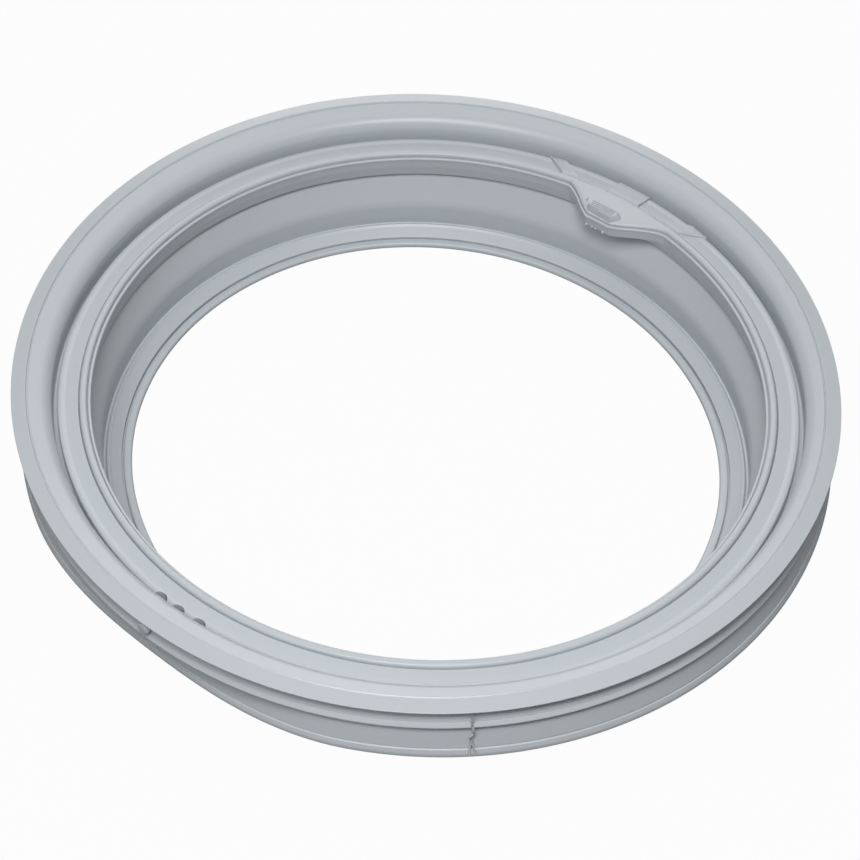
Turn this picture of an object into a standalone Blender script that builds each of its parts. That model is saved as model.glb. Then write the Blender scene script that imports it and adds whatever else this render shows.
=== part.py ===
"""Door bellows of a front-loading washing machine: one moulded ring of grey rubber.

It lies on its tub side with the door side up. All sizes are in metres. The section is drawn
once as a closed profile, turned round Z, and then given what is not round about it: the
pressed-in stretch of its skirt, the tongue on its door lip and the oval it relaxes into.
"""
import math

import bmesh
import bpy
from mathutils import Matrix, Vector

MM = 0.001
COLLECTION = "door_bellows"
SEGMENTS = 72
ARC_PITCH = 1.9 * MM

# Overall
DEPTH = 58.0 * MM
RIM_RADIUS = 190.0 * MM
WALL = 3.5 * MM

# From the rim inwards: the channel's middle, the lip's edge, the wall's fold and the hole's edge
CHANNEL_INSET = 18.5 * MM
LIP_WIDTH = 16.6 * MM
FOLD_OVERHANG = 2.9 * MM
COLLAR_BAND = 13.4 * MM
CHANNEL_RADIUS = RIM_RADIUS - CHANNEL_INSET
LIP_RADIUS = CHANNEL_RADIUS - LIP_WIDTH
FOLD_RADIUS = LIP_RADIUS - FOLD_OVERHANG
HOLE_RADIUS = FOLD_RADIUS - COLLAR_BAND

# Front flange, whose band falls a little towards its edge and whose underside thins out to it
BAND_WIDTH = 7.4 * MM
BAND_FALL = 1.0 * MM
FLANGE_WALL = 3.3 * MM
FLANGE_ROUND = 0.5 * MM
RIM_FACE = 2.0 * MM
RIM_TAPER = 3.0 * MM
STEP_HEIGHT = 0.8 * MM
STEP_WIDTH = 0.6 * MM

# Groove that takes the cabinet panel, and the flange below it
PANEL_GROOVE_DEPTH = 10.0 * MM
PANEL_GROOVE_GAP = 2.4 * MM
MIDDLE_INSET = 3.0 * MM
MIDDLE_HEIGHT = 9.2 * MM
MIDDLE_CHAMFER = 3.5 * MM
MIDDLE_ROUND = 1.0 * MM

# Skirt that goes over the tub
SLIT_DEPTH = 9.0 * MM
SLIT_GAP = 1.5 * MM
SKIRT_INSET = 2.5 * MM
SKIRT_HEIGHT = 17.0 * MM
SKIRT_ROUND = 3.0 * MM
SKIRT_BEAD_HEIGHT = 5.2 * MM
SKIRT_BEAD_PROUD = 1.1 * MM
SKIRT_BEAD_ROUND = 1.5 * MM
BEAD_GROOVE = 0.5 * MM

# Channel between the flange and the door lip
CHANNEL_GAP = 2.4 * MM
CHANNEL_DEPTH = 17.4 * MM
CHANNEL_ROLL_DROP = 3.9 * MM
CHANNEL_ROLL = 8.0 * MM

# Door lip: its edge, the bead behind the edge, and the band out to its shoulder
LIP_DROP = 9.0 * MM
LIP_FACE = 14.6 * MM
LIP_LEAN = 2.2 * MM
LIP_EDGE = 1.4 * MM
LIP_EDGE_HEIGHT = 3.0 * MM
LIP_BEAD = 3.4 * MM
LIP_BEAD_ROUND = 0.9 * MM
LIP_GROOVE = 1.4 * MM
LIP_GROOVE_SPLAY = 0.4 * MM
LIP_BAND_DROP = 1.1 * MM
LIP_TIP_ROUND = 0.6 * MM
LIP_TIP_DROP = 0.2 * MM
LIP_ROUND = 2.2 * MM
SHOULDER_DROP = 2.2 * MM

# Inner wall, and the collar round the drum opening
UNDERCUT = 2.4 * MM
UNDERCUT_DROP = 0.6 * MM
FOLD_DROP = 40.5 * MM
FOLD_PROUD = 0.4 * MM
FOLD_ROUND = 3.0 * MM
COLLAR_RISE = 6.6 * MM
COLLAR_TROUGH = 3.0 * MM
COLLAR_VALLEY = 2.8 * MM
CREST_WIDTH = 1.0 * MM
CREST_EASE = 0.8 * MM
CREST_FALL = 0.2 * MM
VALLEY_SPLAY = 0.9 * MM
FOOT_ROUND = 1.5 * MM
HOLE_BEAD_WIDTH = 4.0 * MM
HOLE_BEAD_HEIGHT = 3.2 * MM
HOLE_BEAD_FALL = 0.4 * MM
HOLE_BEAD_ROUND = 0.9 * MM
HOLE_FOOT_ROUND = 1.3 * MM

# Pressed-in stretch of the skirt, at the drain side
PRESS_ANGLE = math.radians(-131.5)
PRESS_HALF = math.radians(30.0)
PRESS_DEPTH = 6.2 * MM
PRESS_DROOP = 0.33

# Tongue on the door lip, where the water comes in, and the ribbed pad on it
TONGUE_ANGLE = math.radians(52.9)
TONGUE_HALF = math.radians(10.4)
TONGUE_TIP_HALF = math.radians(2.3)
TONGUE_REACH = 14.7 * MM
TONGUE_FALL = 0.9 * MM
TONGUE_FACE = 7.4 * MM
PAD_SIZE = (16.5 * MM, 4.2 * MM, 3.6 * MM)
PAD_ANGLE = math.radians(53.3)
PAD_INSET = 7.6 * MM
PAD_PROUD = 1.4 * MM
PAD_BEVEL = 0.3 * MM
RIB_COUNT = 5
RIB_HEIGHT = 0.3 * MM
RIB_WIDTH = 0.4 * MM
RIB_MARGIN = 0.35 * MM
RIB_END = 0.6 * MM

# Raised strips on the lip's top band: where each one is, how wide, and how far its outer end
# is turned on from its inner end
STRIP_HEIGHT = 1.0 * MM
STRIP_FROM_GROOVE = 0.4 * MM
STRIP_FROM_SHOULDER = 0.9 * MM
STRIPS = (
    ("left_strip", math.radians(64.3), 9.2 * MM, 10.8 * MM),
    ("centre_panel", math.radians(52.0), 17.5 * MM, -1.0 * MM),
    ("right_strip", math.radians(39.8), 9.7 * MM, -10.5 * MM),
)

# Drain holes through the channel's floor, opposite the tongue
DRAIN_DIAMETER = 7.6 * MM
DRAIN_INSET = 0.2 * MM
DRAIN_RUNOUT = 1.5 * MM
DRAIN_ANGLES = tuple(math.radians(a) for a in (-134.1, -130.6, -126.6))

# Stub that fills the panel groove at one spot
STUB_DIAMETER = 5.8 * MM
STUB_ANGLE = math.radians(-131.1)
STUB_INSET = 0.7 * MM
STUB_ROOT = 1.0 * MM
STUB_CLEARANCE = 0.4 * MM

# The lying ring is slightly oval, and more so at its free tub side
OVAL_ANGLE = math.radians(-57.0)
OVAL_TOP = 0.018
OVAL_BOTTOM = 0.026

RUBBER_COLOUR = (0.50, 0.54, 0.57, 1.0)
RUBBER_ROUGHNESS = 0.55


def clear_scene():
    for existing in list(bpy.data.objects):
        bpy.data.objects.remove(existing, do_unlink=True)


def new_collection(name):
    collection = bpy.data.collections.new(name)
    bpy.context.scene.collection.children.link(collection)
    return collection


def rubber_material():
    material = bpy.data.materials.new("grey_rubber")
    material.use_nodes = True
    shader = material.node_tree.nodes["Principled BSDF"]
    shader.inputs["Base Color"].default_value = RUBBER_COLOUR
    shader.inputs["Roughness"].default_value = RUBBER_ROUGHNESS
    shader.inputs["Metallic"].default_value = 0.0
    return material


def rounded(corners):
    """Turn (radius, height, fillet) corners into a closed outline with arcs at its fillets."""
    outline = []
    count = len(corners)
    for index, (radius, height, fillet) in enumerate(corners):
        corner = Vector((radius, height))
        before = Vector(corners[index - 1][:2]) - corner
        after = Vector(corners[(index + 1) % count][:2]) - corner
        opening = before.angle(after)
        cut = fillet / math.tan(opening / 2) if fillet else 0.0
        cut = min(cut, 0.49 * before.length, 0.49 * after.length)
        if cut < 0.05 * MM:
            outline.append(tuple(corner))
            continue
        start = corner + before.normalized() * cut
        end = corner + after.normalized() * cut
        middle = (before.normalized() + after.normalized()).normalized()
        centre = corner + middle * (cut / math.cos(opening / 2))
        arm = (start - centre).length
        first = math.atan2(start.y - centre.y, start.x - centre.x)
        last = math.atan2(end.y - centre.y, end.x - centre.x)
        sweep = (last - first + math.pi) % (2 * math.pi) - math.pi
        steps = max(1, round(abs(sweep) * arm / ARC_PITCH))
        for step in range(steps + 1):
            angle = first + sweep * step / steps
            outline.append((centre.x + arm * math.cos(angle), centre.y + arm * math.sin(angle)))
    return outline


def flange_corners():
    """Front flange, panel groove and middle flange, going down the outside."""
    top = DEPTH
    under = top - BAND_FALL - FLANGE_WALL
    groove_floor = RIM_RADIUS - PANEL_GROOVE_DEPTH
    middle = RIM_RADIUS - MIDDLE_INSET
    middle_top = under - PANEL_GROOVE_GAP
    middle_bottom = middle_top - MIDDLE_HEIGHT
    return [
        (RIM_RADIUS - BAND_WIDTH, top, 0.0),
        (RIM_RADIUS, top - BAND_FALL, FLANGE_ROUND),
        (RIM_RADIUS, top - BAND_FALL - RIM_FACE, 0.0),
        (RIM_RADIUS - RIM_TAPER, under, 0.0),
        (groove_floor, under, 0.0),
        (groove_floor, middle_top, 0.0),
        (middle - MIDDLE_CHAMFER, middle_top, 0.0),
        (middle, middle_top - MIDDLE_CHAMFER, MIDDLE_ROUND),
        (middle, middle_bottom, MIDDLE_ROUND),
    ]


def skirt_top():
    """Height of the slit's lower side, where the skirt begins."""
    under = DEPTH - BAND_FALL - FLANGE_WALL
    return under - PANEL_GROOVE_GAP - MIDDLE_HEIGHT - SLIT_GAP


def skirt_corners():
    """Slit, skirt and the roof of the space that the tub's rim goes into."""
    middle_bottom = skirt_top() + SLIT_GAP
    slit_floor = RIM_RADIUS - MIDDLE_INSET - SLIT_DEPTH
    face = RIM_RADIUS - SKIRT_INSET
    bead = face + SKIRT_BEAD_PROUD
    bottom = skirt_top() - SKIRT_HEIGHT
    bead_top = bottom + SKIRT_BEAD_HEIGHT
    roof = DEPTH - CHANNEL_DEPTH - WALL
    return [
        (slit_floor, middle_bottom, 0.0),
        (slit_floor, skirt_top(), 0.0),
        (face, skirt_top(), SKIRT_ROUND),
        (face, bead_top + BEAD_GROOVE, 0.0),
        (face - BEAD_GROOVE, bead_top, 0.0),
        (bead, bead_top - BEAD_GROOVE, 0.0),
        (bead, bottom, SKIRT_BEAD_ROUND),
        (face - WALL, bottom, 0.0),
        (face - WALL, roof, 0.0),
    ]


def wall_corners():
    """Outside of the inner wall, the flat underside, and the collar round the opening."""
    roof = DEPTH - CHANNEL_DEPTH - WALL
    lip_base = DEPTH - LIP_DROP - LIP_FACE
    face_foot = LIP_RADIUS + LIP_LEAN
    fold = FOLD_RADIUS + WALL
    crest = FOLD_RADIUS - COLLAR_TROUGH
    valley = COLLAR_RISE - COLLAR_VALLEY
    return [
        (face_foot + UNDERCUT + WALL, roof, 0.0),
        (fold, DEPTH - FOLD_DROP, FOLD_ROUND),
        (fold, 0.0, FOOT_ROUND),
        (HOLE_RADIUS, 0.0, HOLE_FOOT_ROUND),
        (HOLE_RADIUS, HOLE_BEAD_HEIGHT, HOLE_BEAD_ROUND),
        (HOLE_RADIUS + HOLE_BEAD_WIDTH - 2 * HOLE_BEAD_FALL, HOLE_BEAD_HEIGHT, 0.0),
        (HOLE_RADIUS + HOLE_BEAD_WIDTH, HOLE_BEAD_HEIGHT - HOLE_BEAD_FALL, 0.0),
        (crest - CREST_EASE, COLLAR_RISE - CREST_EASE, 0.0),
        (crest, COLLAR_RISE, 0.0),
        (crest + CREST_WIDTH, COLLAR_RISE - CREST_FALL, 0.0),
        (crest + CREST_WIDTH + VALLEY_SPLAY, valley, 0.0),
        (FOLD_RADIUS, valley, 0.0),
        (FOLD_RADIUS - FOLD_PROUD, DEPTH - FOLD_DROP, FOLD_ROUND),
        (face_foot + UNDERCUT, lip_base - UNDERCUT_DROP, 0.0),
    ]


def lip_corners():
    """Inner face of the door lip, its edge, its bead and its top band."""
    top = DEPTH - LIP_DROP
    foot = DEPTH - LIP_DROP - LIP_FACE
    edge_foot = top - LIP_EDGE_HEIGHT
    edge_top = top - LIP_TIP_DROP
    edge_back = LIP_RADIUS + LIP_EDGE
    bead_back = edge_back + LIP_BEAD
    groove_back = bead_back + LIP_GROOVE_SPLAY
    return [
        (LIP_RADIUS + LIP_LEAN, foot, 0.0),
        (LIP_RADIUS + LIP_LEAN / 2, top - TONGUE_FACE, 0.0),
        (LIP_RADIUS + LIP_TIP_ROUND, edge_foot - LIP_TIP_ROUND, 0.0),
        (LIP_RADIUS, edge_foot, 0.0),
        (LIP_RADIUS, edge_top, LIP_TIP_ROUND),
        (edge_back - LIP_TIP_DROP, edge_top, 0.0),
        (edge_back, edge_top - 2 * LIP_GROOVE_SPLAY, 0.0),
        (edge_back + LIP_GROOVE_SPLAY, top, 0.0),
        (bead_back, top, LIP_BEAD_ROUND),
        (groove_back, top - LIP_GROOVE, 0.0),
        (groove_back + 2 * LIP_TIP_DROP, top - LIP_BAND_DROP, 0.0),
    ]


def channel_corners():
    """Lip's shoulder, the narrow channel and its wide mouth up to the flange's step."""
    floor = DEPTH - CHANNEL_DEPTH
    inner = CHANNEL_RADIUS - CHANNEL_GAP / 2
    outer = CHANNEL_RADIUS + CHANNEL_GAP / 2
    shoulder = DEPTH - LIP_DROP - SHOULDER_DROP
    step = RIM_RADIUS - BAND_WIDTH - STEP_WIDTH
    return [
        (inner, shoulder, LIP_ROUND),
        (inner, floor, 0.0),
        (outer, floor, 0.0),
        (outer, DEPTH - CHANNEL_ROLL_DROP, CHANNEL_ROLL),
        (step, DEPTH - STEP_HEIGHT, 0.0),
    ]


def section():
    corners = flange_corners() + skirt_corners() + wall_corners() + lip_corners() + channel_corners()
    return rounded(corners)


def smooth(value):
    """0 below 0, 1 above 1, and an even bend between."""
    value = min(max(value, 0.0), 1.0)
    return value * value * (3 - 2 * value)


def turn_between(angle, centre):
    """Signed turn from centre to angle, within half a turn."""
    return (angle - centre + math.pi) % (2 * math.pi) - math.pi


def press_skirt(radius, height, angle):
    """The skirt's flat stretch: in by up to PRESS_DEPTH, and a little down at its top."""
    away = abs(turn_between(angle, PRESS_ANGLE)) / PRESS_HALF
    start = skirt_top() + SLIT_GAP / 2
    if away >= 1.0 or height > start:
        return radius, height
    face = RIM_RADIUS - SKIRT_INSET
    inner = face - SKIRT_ROUND - SLIT_DEPTH
    share = smooth((radius - inner) / (face - SKIRT_ROUND - inner))
    depth = PRESS_DEPTH * smooth(1.0 - away) * share
    above_foot = (height - (skirt_top() - SKIRT_HEIGHT)) / SKIRT_HEIGHT
    return radius - depth, height - PRESS_DROOP * depth * smooth(above_foot)


def tongue_rise(angle):
    """How far the tongue is out: 0 beside it, 1 along its straight tip."""
    away = abs(turn_between(angle, TONGUE_ANGLE))
    ramp = (TONGUE_HALF - away) / (TONGUE_HALF - TONGUE_TIP_HALF)
    ramp = min(max(ramp, 0.0), 1.0)
    return (ramp + smooth(ramp)) / 2


def reach_tongue(radius, height, angle):
    """The tongue: the lip's edge comes in over a low face, and below that slopes back."""
    rise = tongue_rise(angle)
    hinge = LIP_RADIUS + LIP_EDGE + LIP_BEAD
    top = DEPTH - LIP_DROP
    foot = top - LIP_FACE
    if rise == 0.0 or height < foot - UNDERCUT_DROP / 2 or radius > hinge:
        return radius, height
    over_top = (hinge - radius) / LIP_BEAD
    up_slope = (height - foot) / (LIP_FACE - TONGUE_FACE)
    share = min(1.0, over_top, up_slope)
    return radius - TONGUE_REACH * rise * share, height - TONGUE_FALL * rise * share


def place(radius, angle, height):
    """A point of the lying ring, with the oval that it relaxes into."""
    x = radius * math.cos(angle - OVAL_ANGLE)
    y = radius * math.sin(angle - OVAL_ANGLE)
    oval = OVAL_BOTTOM + (OVAL_TOP - OVAL_BOTTOM) * height / DEPTH
    return Matrix.Rotation(OVAL_ANGLE, 3, "Z") @ Vector((x * (1 + oval), y * (1 - oval), height))


def turned_ring(collection):
    """The section turned round Z as a plain ring."""
    outline = section()
    mesh = bpy.data.meshes.new("section")
    edges = [(index, (index + 1) % len(outline)) for index in range(len(outline))]
    mesh.from_pydata([(radius, 0.0, height) for radius, height in outline], edges, [])
    profile = bpy.data.objects.new("section", mesh)
    collection.objects.link(profile)
    screw = profile.modifiers.new("turn", "SCREW")
    screw.axis = "Z"
    screw.angle = 2 * math.pi
    screw.steps = SEGMENTS
    screw.render_steps = SEGMENTS
    screw.use_merge_vertices = True
    screw.merge_threshold = 0.01 * MM
    screw.use_normal_calculate = False
    graph = bpy.context.evaluated_depsgraph_get()
    turned = bpy.data.meshes.new_from_object(profile.evaluated_get(graph))
    bpy.data.objects.remove(profile, do_unlink=True)
    return turned


def shape_ring(mesh):
    """Give the plain ring its pressed-in stretch, its tongue and its oval."""
    for vertex in mesh.vertices:
        radius = math.hypot(vertex.co.x, vertex.co.y)
        angle = math.atan2(vertex.co.y, vertex.co.x)
        radius, height = press_skirt(radius, vertex.co.z, angle)
        radius, height = reach_tongue(radius, height, angle)
        vertex.co = place(radius, angle, height)


def link_mesh(name, form, frame, collection):
    """Make an object of a bmesh, with its frame baked into the mesh."""
    mesh = bpy.data.meshes.new(name)
    form.transform(frame)
    form.to_mesh(mesh)
    form.free()
    tool = bpy.data.objects.new(name, mesh)
    tool.hide_render = True
    tool.display_type = "WIRE"
    collection.objects.link(tool)
    return tool


def frame_at(radius, angle, height):
    """A frame on the ring whose X points outwards and whose Z points up."""
    return Matrix.Translation(place(radius, angle, height)) @ Matrix.Rotation(angle, 4, "Z")


def box_tool(name, size, frame, collection, slant=0.0, bevel=0.0):
    """A box of (radial, along, up) size, whose outer end lies slant further on than its inner end."""
    form = bmesh.new()
    bmesh.ops.create_cube(form, size=1.0)
    form.transform(Matrix.Diagonal((*size, 1.0)))
    for vertex in form.verts:
        vertex.co.y += slant * vertex.co.x / size[0]
    if bevel:
        bmesh.ops.bevel(form, geom=form.edges[:], offset=bevel, segments=1, affect="EDGES")
    return link_mesh(name, form, frame, collection)


def rod_tool(name, diameter, length, frame, collection, sides=16):
    form = bmesh.new()
    bmesh.ops.create_cone(
        form, cap_ends=True, segments=sides, radius1=diameter / 2, radius2=diameter / 2, depth=length
    )
    return link_mesh(name, form, frame, collection)


def join(target, tool, operation):
    boolean = target.modifiers.new(tool.name, "BOOLEAN")
    boolean.operation = operation
    boolean.solver = "EXACT"
    boolean.object = tool


def add_strips(ring, tools):
    """Raised strips across the lip's top band, on both sides of the tongue."""
    groove_back = LIP_RADIUS + LIP_EDGE + LIP_BEAD + LIP_GROOVE_SPLAY + 2 * LIP_TIP_DROP
    inner = groove_back + STRIP_FROM_GROOVE
    outer = CHANNEL_RADIUS - CHANNEL_GAP / 2 - STRIP_FROM_SHOULDER
    inner_top = DEPTH - LIP_DROP - LIP_BAND_DROP
    outer_top = DEPTH - LIP_DROP - SHOULDER_DROP
    tilt = math.atan2(inner_top - outer_top, outer - inner)
    middle = (inner_top + outer_top) / 2
    for name, angle, width, slant in STRIPS:
        frame = frame_at((inner + outer) / 2, angle, middle) @ Matrix.Rotation(tilt, 4, "Y")
        size = (outer - inner, width, 2 * STRIP_HEIGHT)
        join(ring, box_tool(name, size, frame, tools, slant=slant), "UNION")


def add_pad(ring, tools):
    """Ribbed pad on the tongue."""
    along, across, height = PAD_SIZE
    radius = LIP_RADIUS - TONGUE_REACH + PAD_INSET
    top = DEPTH - LIP_DROP + PAD_PROUD
    frame = frame_at(radius, PAD_ANGLE, top - height / 2)
    pad = box_tool("tongue_pad", (across, along, height), frame, tools, bevel=PAD_BEVEL)
    join(ring, pad, "UNION")
    pitch = (across - 2 * RIB_MARGIN) / RIB_COUNT
    for index in range(RIB_COUNT):
        offset = (index - (RIB_COUNT - 1) / 2) * pitch
        place_rib = frame @ Matrix.Translation((offset, 0.0, height / 2))
        size = (RIB_WIDTH, along - 2 * RIB_END, 2 * RIB_HEIGHT)
        join(ring, box_tool(f"pad_rib_{index + 1}", size, place_rib, tools), "UNION")


def cut_drains(ring, tools):
    """Round holes down the lip's outer shoulder and through the channel's floor."""
    low = DEPTH - CHANNEL_DEPTH - WALL - DRAIN_RUNOUT
    high = DEPTH - LIP_DROP + DRAIN_RUNOUT
    for index, angle in enumerate(DRAIN_ANGLES):
        frame = frame_at(CHANNEL_RADIUS - DRAIN_INSET, angle, (low + high) / 2)
        drain = rod_tool(f"drain_{index + 1}", DRAIN_DIAMETER, high - low, frame, tools)
        join(ring, drain, "DIFFERENCE")


def add_stub(ring, tools):
    """Round stub out of the panel groove's floor, sunk in the middle flange."""
    outer = RIM_RADIUS - STUB_INSET
    inner = RIM_RADIUS - PANEL_GROOVE_DEPTH - STUB_ROOT
    height = DEPTH - BAND_FALL - FLANGE_WALL - STUB_CLEARANCE - STUB_DIAMETER / 2
    lie_down = Matrix.Rotation(math.pi / 2, 4, "Y")
    frame = frame_at((outer + inner) / 2, STUB_ANGLE, height) @ lie_down
    join(ring, rod_tool("stub", STUB_DIAMETER, outer - inner, frame, tools, sides=12), "UNION")


def build():
    clear_scene()
    parts = new_collection(COLLECTION)
    tools = new_collection("tools")
    mesh = turned_ring(parts)
    mesh.name = "door_gasket"
    shape_ring(mesh)
    ring = bpy.data.objects.new("door_gasket", mesh)
    parts.objects.link(ring)
    mesh.materials.append(rubber_material())
    add_strips(ring, tools)
    add_pad(ring, tools)
    cut_drains(ring, tools)
    add_stub(ring, tools)
    mesh.shade_smooth()
    mesh.set_sharp_from_angle(angle=math.radians(35))


build()
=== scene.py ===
"""Looks of a washing machine's door bellows: a grey rubber ring that lies with its door side up.

The moulding is made as three turned pieces that run into each other where nothing shows: the
outer flanges with their skirt, the door lip with its tongue, and the inner wall with its collar.
Every piece is first made on a round ring, as (radius, turn, height), and then takes the oval
that the soft ring relaxes into. Sizes are in metres.
"""
import math

import bmesh
import bpy
import numpy as np
from mathutils import Matrix, Vector


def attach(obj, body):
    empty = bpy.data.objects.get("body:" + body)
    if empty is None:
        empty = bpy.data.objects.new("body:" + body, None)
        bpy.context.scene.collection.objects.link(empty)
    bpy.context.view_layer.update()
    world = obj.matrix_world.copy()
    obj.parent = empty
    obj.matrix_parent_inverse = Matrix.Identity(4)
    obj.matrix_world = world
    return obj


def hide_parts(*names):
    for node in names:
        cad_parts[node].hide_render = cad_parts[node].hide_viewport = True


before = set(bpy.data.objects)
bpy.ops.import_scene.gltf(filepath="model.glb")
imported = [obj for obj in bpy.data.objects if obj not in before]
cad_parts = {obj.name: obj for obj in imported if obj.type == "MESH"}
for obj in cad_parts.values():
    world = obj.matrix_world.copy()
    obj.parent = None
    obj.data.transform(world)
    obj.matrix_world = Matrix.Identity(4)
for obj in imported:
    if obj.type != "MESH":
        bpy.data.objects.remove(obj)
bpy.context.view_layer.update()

MM = 0.001
BODY = "root"
NODE = "door_gasket"

# Sizes of the ring, as its solid has them
DEPTH = 58.0 * MM
RIM_RADIUS = 190.0 * MM
WALL = 3.5 * MM
CHANNEL_RADIUS = 171.5 * MM
LIP_RADIUS = 154.9 * MM
FOLD_RADIUS = 152.0 * MM
HOLE_RADIUS = 138.6 * MM
BAND_WIDTH = 6.8 * MM
BAND_FALL = 1.0 * MM
FLANGE_WALL = 3.3 * MM
RIM_FACE = 0.5 * MM
RIM_TAPER = 3.0 * MM
STEP_GROOVE = 1.1 * MM
PANEL_GROOVE_DEPTH = 10.0 * MM
PANEL_GROOVE_GAP = 2.4 * MM
MIDDLE_INSET = 3.0 * MM
MIDDLE_HEIGHT = 8.4 * MM
MIDDLE_CHAMFER = 3.5 * MM
SLIT_DEPTH = 9.0 * MM
SLIT_GAP = 2.4 * MM
SKIRT_INSET = 2.5 * MM
SKIRT_HEIGHT = 16.9 * MM
SKIRT_ROUND = 4.4 * MM
SKIRT_LEAN = 2.4 * MM
SKIRT_BEAD_HEIGHT = 5.2 * MM
SKIRT_BEAD_PROUD = 1.1 * MM
CHANNEL_GAP = 2.4 * MM
CHANNEL_DEPTH = 17.4 * MM
CHANNEL_ROLL_DROP = 3.6 * MM
CHANNEL_ROLL = 8.6 * MM
LIP_DROP = 9.0 * MM
LIP_FACE = 14.6 * MM
LIP_LEAN = 2.2 * MM
LIP_EDGE = 1.2 * MM
RIM_DROP = 2.0 * MM
BEAD_INSET = 1.7 * MM
LIP_BEAD = 3.3 * MM
LIP_BAND_DROP = 1.4 * MM
SHOULDER_DROP = 2.8 * MM
UNDERCUT = 3.0 * MM
FOLD_DROP = 40.5 * MM
COLLAR_RISE = 6.6 * MM
COLLAR_TROUGH = 3.0 * MM
COLLAR_VALLEY = 1.8 * MM
HOLE_BEAD_WIDTH = 4.0 * MM
HOLE_BEAD_HEIGHT = 3.2 * MM
HOLE_GROOVE = 0.8 * MM
HOLE_GROOVE_FOOT = 0.9 * MM

# Pressed-in stretch of the skirt
PRESS_ANGLE = math.radians(-131.5)
PRESS_HALF = math.radians(30.0)
PRESS_DEPTH = 6.2 * MM
PRESS_DROOP = 0.33

# Tongue on the door lip
TONGUE_ANGLE = math.radians(53.6)
TONGUE_LEFT_FOOT = math.radians(9.1)
TONGUE_LEFT_TIP = math.radians(2.7)
TONGUE_RIGHT_FOOT = math.radians(11.6)
TONGUE_RIGHT_TIP = math.radians(2.3)
TONGUE_REACH = 13.5 * MM
TONGUE_FALL = 0.9 * MM
TONGUE_FACE = 5.2 * MM

# Ribbed pad on the tongue, and burrs under the tongue's tip
PAD_TOP = 50.9 * MM
PAD_FOOT = 46.6 * MM
PAD_TOP_CORNERS = (
    (56.6, 148.1 * MM),
    (50.95, 148.4 * MM),
    (50.65, 146.9 * MM),
    (51.35, 143.7 * MM),
    (56.35, 144.3 * MM),
    (56.5, 145.2 * MM),
)
PAD_FOOT_CORNERS = (
    (57.0, 151.5 * MM),
    (51.0, 151.5 * MM),
    (49.5, 148.6 * MM),
    (51.2, 143.4 * MM),
    (56.5, 143.9 * MM),
    (57.4, 146.6 * MM),
)
PAD_ROUNDING = 0.25 * MM
PAD_SHARP = 0.35
PAD_ANGLE = math.radians(53.85)
PAD_RADIUS = 146.15 * MM
RIDGES = 4
RIDGE_PITCH = 1.15 * MM
RIDGE_WIDTH = 0.55 * MM
RIDGE_HEIGHT = 1.5 * MM
RIDGE_LENGTH = 12.4 * MM
PAD_BUMP = (149.2 * MM, 57.8, 49.2 * MM, (1.0 * MM, 2.0 * MM, 1.6 * MM))
BURRS = ((56.2, 1.3 * MM), (54.9, 1.1 * MM), (54.1, 1.0 * MM), (52.4, 1.5 * MM))
BURR_HEIGHT = 40.2 * MM

# Raised strips on the lip's band: turn at the inner and outer end, width and lift
STRIPS = (
    ("left_strip", 63.1, 66.9, 9.2 * MM, 1.15 * MM),
    ("centre_panel", 52.9, 52.5, 17.5 * MM, 1.05 * MM),
    ("right_strip", 42.4, 38.7, 9.7 * MM, 1.15 * MM),
)
STRIP_GROOVE = 0.45 * MM
STRIP_GROOVE_DEPTH = 0.8 * MM

# Drain holes in the lip's outer shoulder, and the stub in the panel groove near them
DRAIN_TURNS = (-134.1, -130.6, -126.6)
DRAIN_PLACE = 171.3 * MM
DRAIN_RADIUS = 3.8 * MM
STUB_TURN = -131.1
STUB_RADIUS = 2.9 * MM
STUB_REACH = 189.3 * MM
STUB_HEIGHT = 50.4 * MM

# Strand of flash at the front: its (turn, radius, height) points, and how thick its ends are
STRAND_STEM = (
    (-84.9, 188.4 * MM, 55.2 * MM),
    (-84.8, 188.3 * MM, 50.0 * MM),
    (-84.95, 188.1 * MM, 48.0 * MM),
    (-84.85, 188.0 * MM, 45.0 * MM),
    (-84.7, 188.1 * MM, 42.2 * MM),
    (-84.7, 188.0 * MM, 39.8 * MM),
    (-85.1, 188.0 * MM, 37.8 * MM),
    (-85.1, 188.0 * MM, 35.5 * MM),
    (-85.05, 188.0 * MM, 33.4 * MM),
)
STRAND_LEFT = (
    (-85.05, 188.0 * MM, 33.6 * MM),
    (-85.3, 188.1 * MM, 29.4 * MM),
    (-85.35, 189.2 * MM, 25.6 * MM),
)
STRAND_RIGHT = (
    (-85.05, 188.0 * MM, 33.6 * MM),
    (-84.75, 188.1 * MM, 30.6 * MM),
    (-84.5, 189.2 * MM, 26.7 * MM),
)
STRAND = (
    (STRAND_STEM, 0.5 * MM, 0.65 * MM),
    (STRAND_LEFT, 0.6 * MM, 0.4 * MM),
    (STRAND_RIGHT, 0.6 * MM, 0.35 * MM),
)

# Unevenness of the channel's outer wall by the drain holes: turn and swell
SWELLS = ((-132.4, 0.35 * MM), (-128.6, 0.35 * MM))
SWELL_TURN = 1.1

# How the soft lip has settled in the ring: moved as a whole, and stretched along X
SETTLE_SHIFT = (1.2 * MM, -0.3 * MM)
SETTLE_STRETCH = (0.5 * MM, -1.1 * MM)
SETTLE_FOOT = 17.0 * MM
SETTLE_RISE = 19.0 * MM

# Oval of the lying ring
OVAL_ANGLE = math.radians(-57.0)
OVAL_TOP = 0.018
OVAL_BOTTOM = 0.026

# How finely the turned pieces are made
ARC_PITCH = 0.55 * MM
ARC_STEP = 0.42
RUN_PITCH = 3.0 * MM
HOLD = 0.3 * MM
FLANGE_STATIONS = 640
WALL_STATIONS = 840
LIP_STATIONS = 760
TONGUE_STATIONS = 300
TONGUE_STRETCH = math.radians(20)
SHARP_EDGE = math.radians(40)

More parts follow.
